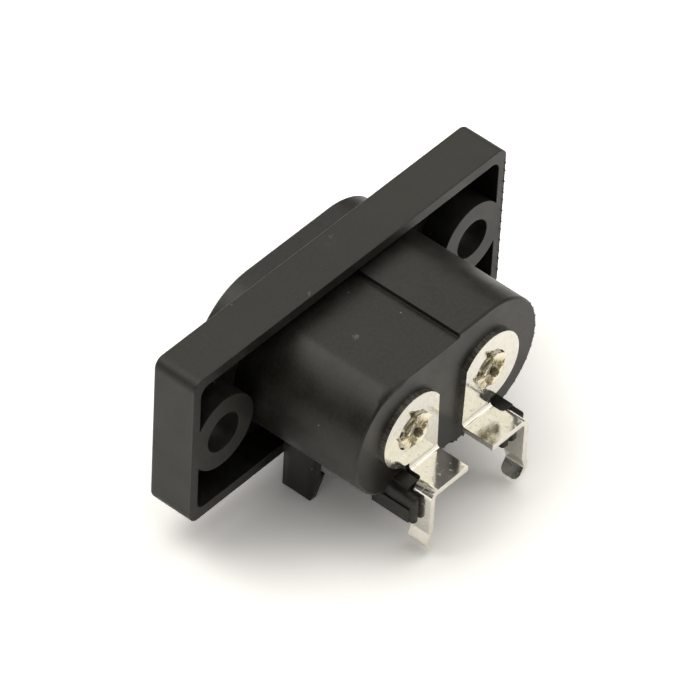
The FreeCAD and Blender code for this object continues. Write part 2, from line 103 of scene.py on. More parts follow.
# %% Node helpers
def place_node(tree, kind, settings=None, **inputs):
    """Adds a node. An input given as a socket is linked, and one given as a value is set.

    An input is called by its label, with _ for a space, or by _ and its number.
    """
    node = tree.nodes.new(kind)
    for key, value in (settings or {}).items():
        setattr(node, key, value)
    for key, value in inputs.items():
        label = int(key[1:]) if key[1:].isdigit() else key.replace("_", " ")
        if isinstance(value, bpy.types.NodeSocket):
            tree.links.new(value, node.inputs[label])
        else:
            node.inputs[label].default_value = value
    return node


def combine(tree, operation, first, second=0.0, third=0.0):
    """One arithmetic step on up to three values or sockets."""
    settings = {"operation": operation}
    return place_node(tree, "ShaderNodeMath", settings, _0=first, _1=second, _2=third).outputs[0]


def multiply(tree, first, *others):
    """The product of several values or sockets."""
    for other in others:
        first = combine(tree, "MULTIPLY", first, other)
    return first


def remap(tree, value, low, high, to_low=0.0, to_high=1.0):
    """A smooth step from to_low to to_high while the value goes from low to high."""
    settings = {"interpolation_type": "SMOOTHSTEP"}
    limits = {"From_Min": low, "From_Max": high, "To_Min": to_low, "To_Max": to_high}
    return place_node(tree, "ShaderNodeMapRange", settings, Value=value, **limits).outputs["Result"]


def blend_colour(tree, factor, first, second):
    """The first colour where the factor is 0, and the second where it is 1."""
    ends = [end if isinstance(end, bpy.types.NodeSocket) else (*end, 1) for end in (first, second)]
    settings = {"data_type": "RGBA"}
    return place_node(tree, "ShaderNodeMix", settings, _0=factor, _6=ends[0], _7=ends[1]).outputs[2]


def noise(tree, where, scale, detail, roughness=0.5):
    """Clouds of values round 0.5, with the given number of clouds to the metre."""
    values = {"Vector": where, "Scale": scale, "Detail": detail, "Roughness": roughness}
    return place_node(tree, "ShaderNodeTexNoise", **values).outputs["Fac"]


print("node helpers ready: arithmetic, products, smooth steps, blends and noise")

# %% [markdown]
# ## Groups and materials
# An effect such as grain or dust shows on several finishes. It could be repeated in each, but as a group
# with named sockets it is built once and placed in each material with its own values.


# %% Groups and materials
def open_group(name, inputs, outputs):
    """A shader node group with named sockets: its tree, what it is given and where its results go."""
    tree = bpy.data.node_groups.new(name, "ShaderNodeTree")
    for label, kind, value in inputs:
        socket = tree.interface.new_socket(label, in_out="INPUT", socket_type=kind)
        if value is not None:
            socket.default_value = value
    for label in outputs:
        tree.interface.new_socket(label, in_out="OUTPUT", socket_type="NodeSocketFloat")
    given = tree.nodes.new("NodeGroupInput").outputs
    result = tree.nodes.new("NodeGroupOutput").inputs
    return tree, given, result


def use_group(tree, group, **inputs):
    """Places a node group in a material with its own values."""
    return place_node(tree, "ShaderNodeGroup", {"node_tree": group}, **inputs).outputs


def open_material(name):
    """A new material: its tree, its Principled shader and the object coordinates in metres."""
    material = bpy.data.materials.new(name)
    material.use_nodes = True
    tree = material.node_tree
    shader = tree.nodes["Principled BSDF"]
    where = tree.nodes.new("ShaderNodeTexCoord").outputs["Object"]
    return material, tree, shader, where


print("helpers ready for groups and materials")

# %% [markdown]
# ## Table
# The inlet lies on a white sheet with no visible edge. A single quad would do, but an array of points
# whose neighbours are joined is the pattern that the turned pieces below follow too, and this is its
# plainest case.

# %% Table
SHEET_REACH = 3


def grid_mesh(name, points):
    """A sheet of quads over an array of points (rows, columns, 3): each cell joins four neighbours."""
    rows, columns = points.shape[:2]
    index = np.arange(rows * columns).reshape(rows, columns)
    corners = [index[:-1, :-1], index[:-1, 1:], index[1:, 1:], index[1:, :-1]]
    quads = np.stack(corners, axis=-1).reshape(-1, 4)
    mesh = bpy.data.meshes.new(name)
    mesh.from_pydata(points.reshape(-1, 3), [], quads)
    mesh.update()
    piece = bpy.data.objects.new(name, mesh)
    bpy.context.scene.collection.objects.link(piece)
    return piece


reach = np.linspace(-SHEET_REACH, SHEET_REACH, 13)
across, along = np.meshgrid(reach, reach)
table = grid_mesh("table", np.stack([across, along, np.full_like(across, lowest.z)], axis=-1))
table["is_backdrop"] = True
print("table at", round(1000 * lowest.z, 2), "mm")

# %% [markdown]
# ## White sheet
# The paper's own white catches the soft shadow. To the eye and to mirrors the sheet is made a brighter
# white still, so that its open parts burn out as in an overexposed picture, while the light that it
# throws back on the part stays that of plain paper. More lamps would lighten the part as well, so the
# lift is a second diffuse shader that only those rays see, and it keeps the shadow.

# %% White sheet
PAPER_TINTS = (0.80, 0.785, 0.765), (0.84, 0.825, 0.805)
SEEN_LIFT = 0.62
MIRRORED_LIFT = 0.5

paper, tree, shader, where = open_material("white_sheet")
white = blend_colour(tree, noise(tree, where, 900, 3), *PAPER_TINTS)
tree.links.new(white, shader.inputs["Base Color"])
shader.inputs["Roughness"].default_value = 0.9
shader.inputs["Specular IOR Level"].default_value = 0.0
ray = tree.nodes.new("ShaderNodeLightPath").outputs
mirrored = combine(tree, "MAXIMUM", ray["Is Glossy Ray"], ray["Is Transmission Ray"])
seen = multiply(tree, ray["Is Camera Ray"], SEEN_LIFT)
seen = combine(tree, "MAXIMUM", seen, multiply(tree, mirrored, MIRRORED_LIFT))
bright = place_node(tree, "ShaderNodeCombineColor", Red=seen, Green=seen, Blue=seen).outputs[0]
lift = place_node(tree, "ShaderNodeBsdfDiffuse", Color=bright).outputs[0]
both = place_node(tree, "ShaderNodeAddShader", _0=shader.outputs[0], _1=lift).outputs[0]
tree.links.new(both, tree.nodes["Material Output"].inputs["Surface"])
table.data.materials.append(paper)
print("white sheet, lifted by", SEEN_LIFT, "to the eye and", MIRRORED_LIFT, "in mirrors")

# %% [markdown]
# ## Room
# Between the lamps, bright metal mirrors the room. A picture of a room could be wrapped round the scene,
# but a dim horizon under a paler ceiling is all that the bends of the terminals need for their dark and
# light bands, so the room is a smooth step over height. To the eye alone it is plain white.

# %% Room
HORIZON = 0.12
CEILING = 0.42

world = bpy.data.worlds.new("studio")
bpy.context.scene.world = world
world.use_nodes = True
tree = world.node_tree
backdrop = tree.nodes["Background"].inputs
towards = tree.nodes.new("ShaderNodeTexCoord").outputs["Generated"]
height = place_node(tree, "ShaderNodeSeparateXYZ", _0=towards).outputs["Z"]
room = remap(tree, height, 0.1, 0.8, HORIZON, CEILING)
ray = tree.nodes.new("ShaderNodeLightPath").outputs
tree.links.new(combine(tree, "MAXIMUM", room, ray["Is Camera Ray"]), backdrop["Strength"])
backdrop["Color"].default_value = (1, 0.985, 0.965, 1)
print("room from", HORIZON, "at the horizon to", CEILING, "overhead")

# %% [markdown]
# ## Lamps
# Small glossy things are lit with large soft boxes, because what the eye reads as light on black plastic
# is mostly the mirror image of the lamp. A broad weak lamp hangs overhead, a brighter one stands behind
# the part and draws the long highlight on its round side, and two on the right light the terminals and
# fill the mirror of their bends.

# %% Lamps
LAMP_TINT = (1.0, 0.98, 0.935)
LAMPS = [
    ("overhead_lamp", (-0.22, -0.22, 1.0), 0.8, 1.45, 0.90),
    ("rear_lamp", (0.28, -0.51, 0.78), 0.7, 0.6, 1.6),
    ("right_lamp", (-0.60, 0.45, 0.68), 0.8, 0.38, 1.02),
    ("side_lamp", (-0.56, 0.80, 0.22), 0.9, 0.55, 1.0),
]


def soft_box(name, direction, distance, width, radiance):
    """A round lamp facing the part: its power is its brightness times pi times its area."""
    lamp = bpy.data.lights.new(name, "AREA")
    lamp.shape = "DISK"
    lamp.size = width
    lamp.energy = radiance * math.pi * math.pi * width * width / 4
    lamp.color = LAMP_TINT
    box = bpy.data.objects.new(name, lamp)
    towards = Vector(direction).normalized()
    turned = towards.to_track_quat("Z", "Y").to_matrix().to_4x4()
    box.matrix_world = Matrix.Translation(towards * distance) @ turned
    bpy.context.scene.collection.objects.link(box)
    print(name, round(lamp.energy, 2), "W")


for lamp in LAMPS:
    soft_box(*lamp)

# %% [markdown]
# ## Mould grain
# Moulded plastic carries the fine spark-eroded grain of its mould, a slow waviness where it shrank and a
# faint mottling of its colour. A picture of real plastic would repeat and blur close up. Noise at each
# of these scales doesn't, so the group gives a height for the bumps and two masks for the mottling.

# %% Mould grain
SHRINK_WAVES = 110
MOTTLES = 420
SPECKLES = 3600

grain, given, result = open_group(
    "mould_grain",
    [("Vector", "NodeSocketVector", None), ("Grain Scale", "NodeSocketFloat", 9000.0)],
    ["Height", "Shade", "Speckle"],
)
where, fineness = given["Vector"], given["Grain Scale"]
pits = place_node(grain, "ShaderNodeTexVoronoi", Vector=where, Scale=fineness).outputs["Distance"]
texture = combine(grain, "MULTIPLY_ADD", pits, 0.6, noise(grain, where, fineness, 2))
waves = combine(grain, "MULTIPLY_ADD", noise(grain, where, SHRINK_WAVES, 1), 6.0, texture)
speckle = remap(grain, noise(grain, where, SPECKLES, 2, 0.7), 0.38, 0.66)
grain.links.new(waves, result["Height"])
grain.links.new(noise(grain, where, MOTTLES, 3, 0.6), result["Shade"])
grain.links.new(speckle, result["Speckle"])
print("group", grain.name, "gives", [socket.name for socket in result if socket.name])

# %% [markdown]
# ## Handling marks
# After some handling every surface has specks of dust and, in patches, hairline scratches. They could be
# small pieces of their own, but as masks they follow any shape. A speck is the middle of a random cell,
# kept only where the cell's own number is high. A scratch is noise that is stretched one way.

# %% Handling marks
SCRATCH_RUNS = [((0.3, 0.9, 0.4), (9000, 190, 190)), ((1.1, 0.2, 2.0), (170, 8000, 170))]
SCRATCHED_PATCHES = 240
LARGEST_SPECK = 0.085

marks, given, result = open_group(
    "handling_marks",
    [("Vector", "NodeSocketVector", None), ("Dust Scale", "NodeSocketFloat", 1000.0)],
    ["Dust", "Scratches"],
)
where = given["Vector"]
specks = place_node(marks, "ShaderNodeTexVoronoi", Vector=where, Scale=given["Dust Scale"]).outputs
chosen = place_node(marks, "ShaderNodeSeparateColor", _0=specks["Color"]).outputs[0]
size = remap(marks, chosen, 0.78, 1.0, 0.0, LARGEST_SPECK)
marks.links.new(combine(marks, "LESS_THAN", specks["Distance"], size), result["Dust"])
lines = []
for angles, stretch in SCRATCH_RUNS:
    drawn = place_node(marks, "ShaderNodeMapping", Vector=where, Rotation=angles, Scale=stretch)
    lines.append(remap(marks, noise(marks, drawn.outputs[0], 1, 1), 0.70, 0.76))
patches = remap(marks, noise(marks, where, SCRATCHED_PATCHES, 2), 0.48, 0.62)
marks.links.new(multiply(marks, combine(marks, "MAXIMUM", *lines), patches), result["Scratches"])
print("group", marks.name, "gives", [socket.name for socket in result if socket.name])

# %% [markdown]
# ## Black moulding
# The housing is one shot of black plastic with a satin skin. One near black colour would give the depth
# of the hollow back, but the real skin is mottled, and the outside of the flange is paler. So the
# colour goes from deep to pale with the slow noise, takes on fine speckles, and is lifted paler on the
# flange's top and end faces, more towards the far end. Each face is found by its place on the part, in
# metres.

# %% Black moulding
BLACK_DEEP = (0.0088, 0.0085, 0.0068)
BLACK_PALE = (0.0158, 0.0152, 0.0124)
SPECKLED = (0.030, 0.0285, 0.0235)
FLANGE_PALE = (0.036, 0.0352, 0.030)
END_FACES = 0.0168, 0.0172
TOP_FACES = 0.0066, 0.0070
FLANGE_RIM = 0.0037, 0.00398
FAR_TO_NEAR = -0.012, 0.003
FLANGE_PALE_SHARES = 0.62, 0.36

black_moulding, tree, shader, where = open_material("black_moulding")
skin = use_group(tree, grain, Vector=where)
axis = place_node(tree, "ShaderNodeSeparateXYZ", _0=where).outputs
level = combine(tree, "ABSOLUTE", axis["Z"])
ends = remap(tree, combine(tree, "ABSOLUTE", axis["X"]), *END_FACES)
tops = remap(tree, level, *TOP_FACES)
flange = remap(tree, axis["Y"], *FLANGE_RIM, 1.0, 0.0)
outer_skin = multiply(tree, flange, combine(tree, "MAXIMUM", ends, tops))
# paler on the flange's top and end faces, more so towards the far end
flange_paling = multiply(tree, outer_skin, remap(tree, axis["X"], *FAR_TO_NEAR, *FLANGE_PALE_SHARES))
cloud = remap(tree, skin["Shade"], 0.36, 0.64)
body = blend_colour(tree, cloud, BLACK_DEEP, BLACK_PALE)
body = blend_colour(tree, multiply(tree, skin["Speckle"], 0.35), body, SPECKLED)
body = blend_colour(tree, flange_paling, body, FLANGE_PALE)
print("black moulding, hazed on the flange's outer faces")

# %% [markdown]
# ## Rubbed and nicked places
# Where the part lay against others, its skin is rubbed paler, and here and there it was nicked. Random
# wear would put such places anywhere. Here they lie where they are on the part, in mm, each with a
# radius and a strength, and noise shifts the coordinates a little, so that no spot has a round edge.

# %% Rubbed and nicked places
RUBBED = [
    ((-0.5, 1.3, 7.2), 1.2, 0.9), ((3.4, 9.2, 5.3), 2.6, 0.15), ((-2.0, 6.5, 5.7), 2.4, 0.3),
    ((12.0, 2.2, 7.2), 3.0, 0.35), ((7.6, 9.6, 4.8), 2.2, 0.5),
]
NICKED = [
    ((4.1, 7.9, 5.3), 0.26, 1.0), ((4.35, 8.1, 5.3), 0.18, 1.0), ((4.6, 3.75, 7.2), 0.22, 1.0),
    ((-1.1, 0.9, 7.2), 0.2, 1.0), ((1.7, 2.3, 7.2), 0.14, 1.0), ((9.3, 0.4, 7.2), 0.16, 1.0),
]
SHIFT = 0.0008


def soft_spots(tree, where, places):
    """The strongest of some round spots: full within 0.3 of the radius, and gone at the radius."""
    strongest = 0.0
    for place, radius, strength in places:
        middle = [side / 1000 for side in place]
        settings = {"operation": "DISTANCE"}
        away = place_node(tree, "ShaderNodeVectorMath", settings, _0=where, _1=middle).outputs["Value"]
        spot = remap(tree, away, 0.0003 * radius, 0.001 * radius, strength, 0.0)
        strongest = combine(tree, "MAXIMUM", spot, strongest)
    return strongest


clouds = place_node(tree, "ShaderNodeTexNoise", Vector=where, Scale=3200, Detail=2).outputs["Color"]
settings = {"operation": "MULTIPLY_ADD"}
amount, centre = [SHIFT] * 3, [-SHIFT / 2] * 3
shift = place_node(tree, "ShaderNodeVectorMath", settings, _0=clouds, _1=amount, _2=centre).outputs[0]
torn = place_node(tree, "ShaderNodeVectorMath", {"operation": "ADD"}, _0=where, _1=shift).outputs[0]
rubbed = multiply(tree, soft_spots(tree, torn, RUBBED), cloud)
nicked = soft_spots(tree, torn, NICKED)
print(len(RUBBED), "rubbed and", len(NICKED), "nicked places")

# %% [markdown]
# ## Wear on the moulding
# Rubs, nicks, scratches and dust are each paler than the black under them, and they lie over each other
# in that order. Each is blended over the colour so far by a share of its own mask. The skin is a little
# rougher on the flange's paler outer faces, under dust and where it was rubbed.

# %% Wear on the moulding
worn = use_group(tree, marks, Vector=where)
layers = [
    (rubbed, 0.45, (0.060, 0.058, 0.050)),
    (nicked, 0.5, (0.16, 0.152, 0.135)),
    (worn["Scratches"], 0.35, (0.075, 0.073, 0.066)),
    (worn["Dust"], 0.6, (0.30, 0.29, 0.27)),
]
for mask, share, tint in layers:
    body = blend_colour(tree, multiply(tree, mask, share), body, tint)
tree.links.new(body, shader.inputs["Base Color"])
gloss = remap(tree, skin["Shade"], 0.3, 0.7, 0.35, 0.45)
for mask, share in ((outer_skin, 0.10), (worn["Dust"], 0.3), (rubbed, 0.15)):
    gloss = combine(tree, "MULTIPLY_ADD", mask, share, gloss)
tree.links.new(gloss, shader.inputs["Roughness"])
shader.inputs["Specular IOR Level"].default_value = 0.4
shader.inputs["Specular Tint"].default_value = (1.0, 0.985, 0.93, 1.0)
print(len(layers), "layers of wear")

# %% [markdown]
# ## Soft edges of the moulding
# Edges of a moulding are never quite sharp. Rounding them in the solid would cost many faces, so the
# Bevel node rounds only the shading, and each edge catches a hair of light. Where the flat of the body
# runs into its round side, the change is soft on the real one, and the radius grows there.

# %% Soft edges of the moulding
EDGE_RADIUS = 0.0001
CREASE_RADIUS = 0.0009
CREASE_LEVEL = 0.0043, 0.0048
CREASE_START = 0.0049, 0.0056
CREASE_END = 0.0074, 0.0081
FLANGE_BACK = 0.0040, 0.0044

above = remap(tree, level, *CREASE_LEVEL)
inside = remap(tree, axis["X"], *CREASE_START)
outside = remap(tree, axis["X"], *CREASE_END, 1.0, 0.0)
behind = remap(tree, axis["Y"], *FLANGE_BACK)
crease = multiply(tree, above, inside, outside, behind)
softness = combine(tree, "MULTIPLY_ADD", crease, CREASE_RADIUS, EDGE_RADIUS)
edge = place_node(tree, "ShaderNodeBevel", {"samples": 12}, Radius=softness).outputs[0]
relief = combine(tree, "SUBTRACT", skin["Height"], worn["Scratches"])
bump = place_node(tree, "ShaderNodeBump", Strength=0.35, Distance=0.000012, Height=relief, Normal=edge)
tree.links.new(bump.outputs[0], shader.inputs["Normal"])
print("edges softened by", 1000 * EDGE_RADIUS, "mm")

# %% [markdown]
# ## Rolled strip
# Sheet metal keeps the traces of the rolls, long waves and fine lines along the strip, and its plating
# is hazy and here and there pebbled. The waves could be modelled, but they are far too low to see except
# in what the metal mirrors. So the group gives a height for waves and lines, and a mask for haze and
# pebbles each.

# %% Rolled strip
STRIP_LINES = (16000, 16000, 500)
HAZE_CLOUDS = 1500
PEBBLES = 2600

rolled, given, result = open_group(
    "rolled_strip",
    [("Vector", "NodeSocketVector", None), ("Wave Scale", "NodeSocketFloat", 700.0)],
    ["Height", "Haze", "Pebble"],
)
where = given["Vector"]
drawn = place_node(rolled, "ShaderNodeMapping", Vector=where, Scale=STRIP_LINES).outputs[0]
wave = noise(rolled, where, given["Wave Scale"], 1)
height = combine(rolled, "MULTIPLY_ADD", wave, 7.0, noise(rolled, drawn, 1, 2))
rolled.links.new(height, result["Height"])
rolled.links.new(noise(rolled, where, HAZE_CLOUDS, 4, 0.65), result["Haze"])
rolled.links.new(remap(rolled, noise(rolled, where, PEBBLES, 1), 0.54, 0.80), result["Pebble"])
print("group", rolled.name, "gives", [socket.name for socket in result if socket.name])

# %% [markdown]
# ## Plated metal
# The terminals are stamped from brass strip that was tinned bright before, so their faces mirror the
# table, the housing and each other, bent a little by the rolling of the strip. The pins are rolled brass
# with a thinner plate. Two separate networks would repeat most nodes, so one function makes both from
# their own tints and gloss.


# %% Plated metal
def plated_metal(name, bright, dull, smooth, rough, pebbled, pure):
    """A plated metal: bright and dull tints by haze, a gloss between two values, fine waves and marks.

    Gives the material, its shader, and the sockets of its tint and gloss, for more layers on top.
    """
    material, tree, shader, where = open_material(name)
    strip = use_group(tree, rolled, Vector=where)
    worn = use_group(tree, marks, Vector=where, Dust_Scale=1300.0)
    tint = blend_colour(tree, remap(tree, strip["Haze"], 0.35, 0.7), bright, dull)
    tint = blend_colour(tree, multiply(tree, worn["Scratches"], 0.3), tint, dull)
    tree.links.new(tint, shader.inputs["Base Color"])
    shader.inputs["Metallic"].default_value = pure
    gloss = remap(tree, strip["Haze"], 0.3, 0.75, smooth, rough)
    gloss = combine(tree, "MULTIPLY_ADD", worn["Scratches"], 0.15, gloss)
    gloss = combine(tree, "MULTIPLY_ADD", strip["Pebble"], pebbled, gloss)
    tree.links.new(gloss, shader.inputs["Roughness"])
    edge = place_node(tree, "ShaderNodeBevel", {"samples": 6}, Radius=0.00005).outputs[0]
    relief = {"Strength": 0.3, "Distance": 0.000006, "Height": strip["Height"], "Normal": edge}
    bump = place_node(tree, "ShaderNodeBump", **relief)
    tree.links.new(bump.outputs[0], shader.inputs["Normal"])
    print(name, "with a gloss from", smooth, "to", rough)
    return material, shader, tint, gloss


TIN_TINTS = (0.79, 0.768, 0.695), (0.73, 0.706, 0.632)
BRASS_TINTS = (0.84, 0.80, 0.68), (0.74, 0.68, 0.52)
terminal_metal, terminal_shader, tin, tin_gloss = plated_metal(
    "terminal_metal", *TIN_TINTS, 0.06, 0.15, 0.3, 0.94)
pin_metal, pin_shader, plate, _ = plated_metal(
    "pin_metal", *BRASS_TINTS, 0.18, 0.32, 0.0, 0.86)

# %% [markdown]
# ## Sheared edges
# The terminals were cut out of the tinned strip, so their cut edges are dull and torn, and only the
# faces are bright. The faces of the solid could be split for it, but the edges are easy to name by
# place: outside the circle of the round tab, or on the inner side, whose line leans a little with
# height. The mask also carries painted shade: it is full on the upper edges and weaker low down, so
# the upper edges are painted dark as a painted reflection of the dark housing.

# %% Sheared edges
TAB_MIDDLE = 0.00435
TAB_RADIUS = 0.003236
TAB_FOOT = -0.0032
ROUND_ABOVE = 0.0016
ROUND_BEYOND = 0.0046
INNER_EDGE = 0.001507
INNER_LEAN = 0.0273
# heights over which the painted shade on the cut edges grows from its low share to full
EDGE_SHADE_HEIGHTS = -0.0022, 0.0010
LOW_EDGE_SHARE = 0.3
TEAR_LINES = (7500, 1600, 7500)
CUT_TINTS = (0.22, 0.21, 0.18), (0.48, 0.46, 0.40)
SHEARED_GLOSS = 0.34

tree = terminal_metal.node_tree
where = tree.nodes["Texture Coordinate"].outputs["Object"]
axis = place_node(tree, "ShaderNodeSeparateXYZ", _0=where).outputs
outward = combine(tree, "ABSOLUTE", axis["X"])
sideways = combine(tree, "SUBTRACT", outward, TAB_MIDDLE)
height_squared = multiply(tree, axis["Z"], axis["Z"])
away_squared = combine(tree, "MULTIPLY_ADD", sideways, sideways, height_squared)
beyond = combine(tree, "GREATER_THAN", away_squared, TAB_RADIUS ** 2)
upper = combine(tree, "GREATER_THAN", axis["Z"], ROUND_ABOVE)
outer = combine(tree, "GREATER_THAN", outward, ROUND_BEYOND)
above_foot = combine(tree, "GREATER_THAN", axis["Z"], TAB_FOOT)
rim = multiply(tree, beyond, above_foot, combine(tree, "MAXIMUM", upper, outer))
inner = combine(tree, "SUBTRACT", outward, multiply(tree, axis["Z"], INNER_LEAN))
sheared_and_shaded = combine(tree, "MAXIMUM", rim, combine(tree, "LESS_THAN", inner, INNER_EDGE))
# painted shade: the cut-edge mask is full high up and only a share low down, a painted dark reflection on
# the upper edges
sheared_and_shaded = multiply(tree, sheared_and_shaded, remap(tree, axis["Z"], *EDGE_SHADE_HEIGHTS, LOW_EDGE_SHARE, 1.0))
drawn = place_node(tree, "ShaderNodeMapping", Vector=where, Scale=TEAR_LINES).outputs[0]
cut = blend_colour(tree, remap(tree, noise(tree, drawn, 1, 2), 0.35, 0.7), *CUT_TINTS)
tree.links.new(blend_colour(tree, sheared_and_shaded, tin, cut), terminal_shader.inputs["Base Color"])
rough = combine(tree, "MAXIMUM", tin_gloss, multiply(tree, sheared_and_shaded, SHEARED_GLOSS))
tree.links.new(rough, terminal_shader.inputs["Roughness"])
print("sheared edges round a tab of", round(1000 * TAB_RADIUS, 2), "mm radius")

# %% [markdown]
# ## Bare brass
# The plate of a pin is stretched where its tail was folded, so the brass shows, and its hollows are
# painted darker as painted shade. Both follow the turned shape and not a place in space, so the pins
# below carry them as attributes of their points, and the finish reads them.

# %% Bare brass
BRASS = (0.84, 0.73, 0.45)
# painted shade: a dark olive for the pin's hollows, in place of their shade and dark reflections
PAINTED_SHADE_TINT = (0.34, 0.31, 0.21)

tree = pin_metal.node_tree
bare = place_node(tree, "ShaderNodeAttribute", {"attribute_name": "bare_brass"}).outputs["Fac"]
dark = place_node(tree, "ShaderNodeAttribute", {"attribute_name": "painted_shade"}).outputs["Fac"]
warm = blend_colour(tree, bare, plate, BRASS)
tree.links.new(blend_colour(tree, dark, warm, PAINTED_SHADE_TINT), pin_shader.inputs["Base Color"])
print("pin metal reads bare_brass and tarnish")

# %% [markdown]
# ## Sections of a pin
# Each contact pin is a rolled tube. Its tail was pushed through the terminal's eye, split, and staked
# with a punch: one side stands up as a ring, the other was sheared low, and two petals between them were
# folded out over the tin. The staking narrowed the mouth of the hole. A scan would give all this as a
# cloud of points. Here it is drawn as sections, pairs of radius and height in mm: the shank from the
# panel's face, and the rest from the face of the tabs.

# %% Sections of a pin
TABS_FACE = 13.98
NOSE = np.radians(np.linspace(12, 90, 9))
SHANK = np.concatenate([
    np.stack([1.2 * np.sin(NOSE) ** 0.8, 1.1 - 0.9 * np.cos(NOSE)], axis=-1),
    [(1.2, 5.0), (1.2, 10.38), (1.22, 10.4), (1.63, 10.4), (1.65, 10.42), (1.65, 10.98),
     (1.63, 11.0), (1.22, 11.0), (1.2, 11.02), (1.2, 13.46), (1.2, 13.52)],
])
BOWL = [(1.40, -0.42), (1.62, -0.34), (1.64, -0.20), (1.58, -0.19), (1.40, -0.30), (1.18, -0.33),
        (1.03, -0.22)]
TAIL_SECTIONS = {
    "cut": [(0.97, -0.10), (0.96, -0.06), (0.95, -0.03), (0.93, -0.01), (0.88, 0.0), (0.80, -0.02),
            (0.72, -0.04), (0.63, -0.05), (0.55, -0.06), (0.46, -0.06), (0.38, -0.08), (0.31, -0.14)],
    "low_side": [(0.97, -0.10), (1.02, 0.04), (1.05, 0.17), (1.03, 0.27), (0.97, 0.32), (0.90, 0.31),
                 (0.78, 0.25), (0.66, 0.20), (0.55, 0.15), (0.46, 0.11), (0.38, 0.07), (0.31, 0.0)],
    "petal": [(0.97, -0.10), (1.0, 0.02), (1.25, 0.09), (1.60, 0.19), (1.64, 0.31), (1.32, 0.34),
              (0.95, 0.30), (0.80, 0.24), (0.68, 0.20), (0.56, 0.17), (0.46, 0.15), (0.31, 0.06)],
    "ring": [(0.97, -0.10), (1.06, 0.14), (1.08, 0.34), (1.06, 0.45), (1.01, 0.51), (0.92, 0.53),
             (0.80, 0.51), (0.68, 0.48), (0.57, 0.46), (0.46, 0.45), (0.38, 0.43), (0.31, 0.32)],
}
BORE = [(0.29, -0.1), (0.24, -0.7), (0.60, -1.1), (0.60, -12.1), (0.50, -12.18)]

crest = max(height for section in TAIL_SECTIONS.values() for _, height in section)
print("tail sections up to", crest, "mm over the tabs")

# %% [markdown]
# ## Sectors of the tail
# Round the turn, each kind of section holds for a sector, with an eased step to the next. The steps are
# computed once, for every second degree, because both pins share them.

# %% Sectors of the tail
angle = np.arange(0, 360, 2.0)
turn = np.radians(angle)


def sector(start, end, soft=5.0):
    """1 between two angles in degrees and 0 outside, with an eased step of the given width."""
    away = np.abs((angle - (start + end) / 2 + 180) % 360 - 180)
    ramp = np.clip(((end - start) / 2 - away) / soft + 0.5, 0, 1)
    return ramp * ramp * (3 - 2 * ramp)


upper_petal = sector(80, 155)
lower_petal = sector(306, 368)
petals = upper_petal + lower_petal
shares = {"low_side": sector(12, 77), "petal": petals, "ring": sector(162, 298)}
print({key: f"{2 * float(share.sum()):.0f} degrees" for key, share in shares.items()})

# %% [markdown]
# ## Staked tail
# The staked end is what shows of a pin from behind. It could be sculpted, but then a change of one
# section would mean sculpting again. With the sections and the sectors it is one sum.

# %% Staked tail
PETAL_STEPS = np.array([0, 0, 0.3, 1, 1, 0.5, 0.1, 0, 0, 0, 0, 0])
upper_corner = upper_petal * ((angle - 117) / 37) ** 2
lower_corner = lower_petal * (((angle + 180) % 360 - 157) / 31) ** 2
corner = upper_corner + lower_corner


def around(section):
    """One section of pairs, repeated at every angle: (rings, angles, 2)."""
    return np.repeat(np.array(section)[:, None, :], len(angle), axis=1)


def staked_tail(phase):
    """The tail's rings: the cut section plus, by sector, a share of the difference to its own section.

    On the petals, corners reach further out and up than the middle of their edge, by the square of the
    angle from that middle, and two sines make the edge ragged.
    """
    shape = {key: np.array(section) for key, section in TAIL_SECTIONS.items()}
    tail = around(shape["cut"])
    for key, share in shares.items():
        tail = tail + share[None, :, None] * (shape[key] - shape["cut"])[:, None, :]
    ragged = 0.03 * np.sin(5 * turn + phase) + 0.02 * np.sin(13 * turn + 2 * phase)
    lift = 0.20 * corner * upper_petal - 0.08 * upper_petal + 0.06 * corner - 0.12 * lower_petal
    flap = petals[None, :] * PETAL_STEPS[:, None]
    tail[..., 0] = tail[..., 0] + flap * (0.18 * corner - 0.08 + ragged)
    tail[..., 1] = tail[..., 1] + flap * lift
    tail[..., 1] = tail[..., 1] + 0.4 * ragged * (tail[..., 1] > 0.1)
    return tail


print("tail of", len(PETAL_STEPS), "rings with", len(angle), "points each")

# %% [markdown]
# ## Bare brass and painted shade
# Bare brass lies on the folds and on both ends of the ring, and painted shade in the bowl, under the
# folds and in the hole, where the real tail lies in shade and mirrors dark things. Both are shares from 0
# to 1 for every point of a pin, by ring and by sector.

# %% Bare brass and painted shade
BARE_STEPS = np.array([0.2, 0.9, 0.7, 0.1, 0.05, 0.55, 0.9, 0.6, 0.4, 0.05, 0.0, 0.2])
# painted shade by ring of the tail: deep at its root by the tab and towards the hole
PAINTED_SHADE_STEPS = np.array([0.7, 0.6, 0.45, 0.1, 0.0, 0.0, 0.35, 0.55, 0.6, 0.6, 0.5, 0.3])
RING_PAINTED_SHADE = np.array([0.7, 0.7, 0.8, 0.9, 0.35, 0.0, 0.0, 0.0, 0.0, 0.05, 0.2, 0.6])
BOWL_PAINTED_SHADE = 0.5
BORE_PAINTED_SHADE = 0.3

tail_start = len(SHANK) + len(BOWL)
tail_end = tail_start + len(BARE_STEPS)
bare_brass = np.zeros((tail_end + len(BORE), len(angle)))
painted_shade = np.zeros_like(bare_brass)
folds = petals * 0.75 + sector(160, 196, 14) + sector(262, 300, 14)
bare_brass[tail_start:tail_end] = BARE_STEPS[:, None] * np.clip(folds, 0, 1)
ring_change = shares["ring"] * (RING_PAINTED_SHADE - PAINTED_SHADE_STEPS)[:, None]
painted_shade[tail_start:tail_end] = PAINTED_SHADE_STEPS[:, None] + ring_change
painted_shade[len(SHANK):tail_start] = BOWL_PAINTED_SHADE
painted_shade[tail_end:] = BORE_PAINTED_SHADE
print("bare brass on", round(100 * float(bare_brass[tail_start:tail_end].mean())), "percent of the tail")

